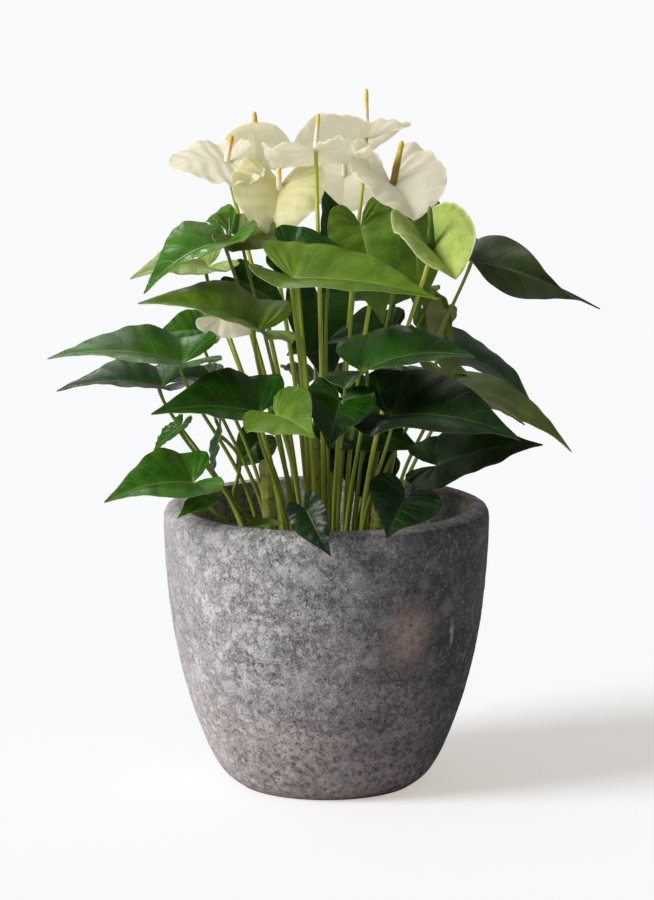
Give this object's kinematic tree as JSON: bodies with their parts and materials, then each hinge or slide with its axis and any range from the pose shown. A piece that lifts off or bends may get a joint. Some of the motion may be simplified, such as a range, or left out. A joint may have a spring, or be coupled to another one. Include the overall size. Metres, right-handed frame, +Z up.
{
  "type": "potted anthurium",
  "caption": "White-flowering anthurium with heart-shaped leaves, growing from soil in a rounded pot with a rough, mottled grey glaze.",
  "frame": {"origin": "centre of the pot's flat foot, on the surface that it stands on", "axes": "+Z up, along the pot's axis; -Y is the front, the side with the most flowers facing out; +X to the right as seen from the front"},
  "size_m": [0.5167, 0.3956, 0.6539],
  "materials": {
    "stone_glaze": "rough mottled grey glaze on fired clay, lighter specks",
    "soil": "dark potting soil",
    "cane_bark": "green-brown ringed stem",
    "leaf": "waxy dark green leaf",
    "stalk": "smooth yellow-green stalk, cream to yellow spadix",
    "spathe": "puckered creamy white spathe",
    "green_spathe": "old spathe turned light green, with a cream margin"
  },
  "bodies": {
    "root": {"pot": "stone_glaze", "soil": "soil", "cane_left": "cane_bark", "cane_middle": "cane_bark", "cane_right": "cane_bark", "leaf_01": "leaf", "leaf_02": "leaf", "leaf_03": "leaf", "leaf_04": "leaf", "leaf_05": "leaf", "leaf_06": "leaf", "leaf_07": "leaf", "leaf_08": "leaf", "leaf_09": "leaf", "leaf_10": "leaf", "leaf_11": "leaf", "leaf_12": "leaf", "leaf_13": "leaf", "leaf_14": "leaf", "leaf_15": "leaf", "leaf_16": "leaf", "leaf_17": "leaf", "leaf_18": "leaf", "leaf_19": "leaf", "leaf_20": "leaf", "leaf_21": "leaf", "leaf_22": "leaf", "leaf_23": "leaf", "leaf_24": "leaf", "leaf_25": "leaf", "leaf_26": "leaf", "leaf_27": "leaf", "leaf_28": "leaf", "leaf_29": "leaf", "leaf_30": "leaf", "leaf_31": "leaf", "leaf_32": "leaf", "leaf_33": "leaf", "leaf_34": "leaf", "leaf_35": "leaf", "leaf_36": "leaf", "leaf_37": "leaf", "spathe_1": "spathe", "spathe_2": "spathe", "spathe_3": "spathe", "spathe_4": "spathe", "spathe_5": "spathe", "spathe_6": "spathe", "spathe_7": "spathe", "spathe_8": "spathe", "spathe_9": "green_spathe", "stalk_1": "stalk", "stalk_2": "stalk", "stalk_3": "stalk", "stalk_4": "stalk", "stalk_5": "stalk", "stalk_6": "stalk", "stalk_7": "stalk", "stalk_8": "stalk", "stalk_9": "stalk"}
  },
  "joints": []
}
